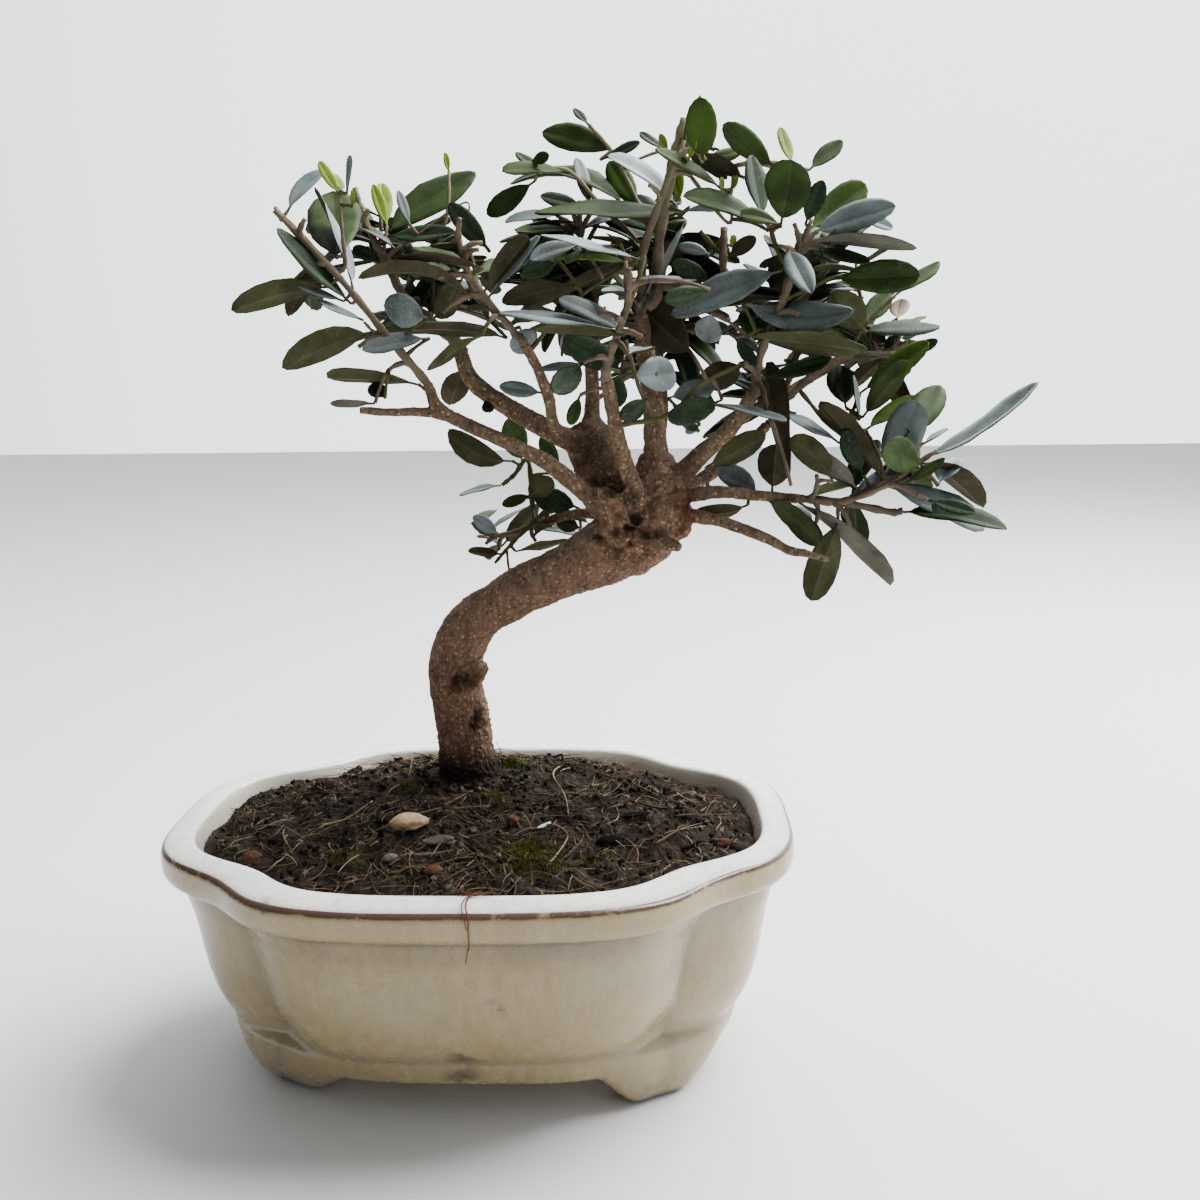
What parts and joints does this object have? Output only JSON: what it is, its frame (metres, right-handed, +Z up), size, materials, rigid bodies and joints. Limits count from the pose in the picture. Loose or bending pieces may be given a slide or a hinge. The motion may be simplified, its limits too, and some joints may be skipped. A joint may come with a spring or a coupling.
{
  "type": "potted olive bonsai",
  "caption": "Olive bonsai with a leaning, bent trunk, a swollen head and an open crown, planted in a lobed oval glazed pot on corner feet.",
  "frame": {"origin": "middle of the whole plant's box, on the ground under the pot's feet", "axes": "+Z up along the height, X along the pot's long side, -Y towards the front that shows the trunk's bend"},
  "size_m": [0.3398, 0.1919, 0.3746],
  "materials": {
    "glaze": "cream gloss glaze with fine crackle, brown where it breaks over the rim",
    "soil": "dark crumbly potting soil with root fibres",
    "bark": "matt grey-brown bark with pale lenticels",
    "leaf": "leathery grey-green leaves, satin above and paler beneath"
  },
  "bodies": {
    "root": {"pot": "glaze", "soil": "soil", "trunk": "bark", "bough_left_low": "bark", "stub_left_low": "bark", "bough_left_upper": "bark", "bough_left_inner": "bark", "bough_top_left": "bark", "bough_leader": "bark", "bough_front": "bark", "bough_right": "bark", "bough_right_upper": "bark", "bough_right_low": "bark", "stub_right_low": "bark", "bough_back": "bark", "bough_back_right": "bark", "bough_back_low": "bark", "foliage_left_low": "leaf", "foliage_left_upper": "leaf", "foliage_left_inner": "leaf", "foliage_top_left": "leaf", "foliage_leader": "leaf", "foliage_front": "leaf", "foliage_right": "leaf", "foliage_right_upper": "leaf", "foliage_right_low": "leaf", "foliage_back": "leaf", "foliage_back_right": "leaf", "foliage_back_low": "leaf"}
  },
  "joints": []
}
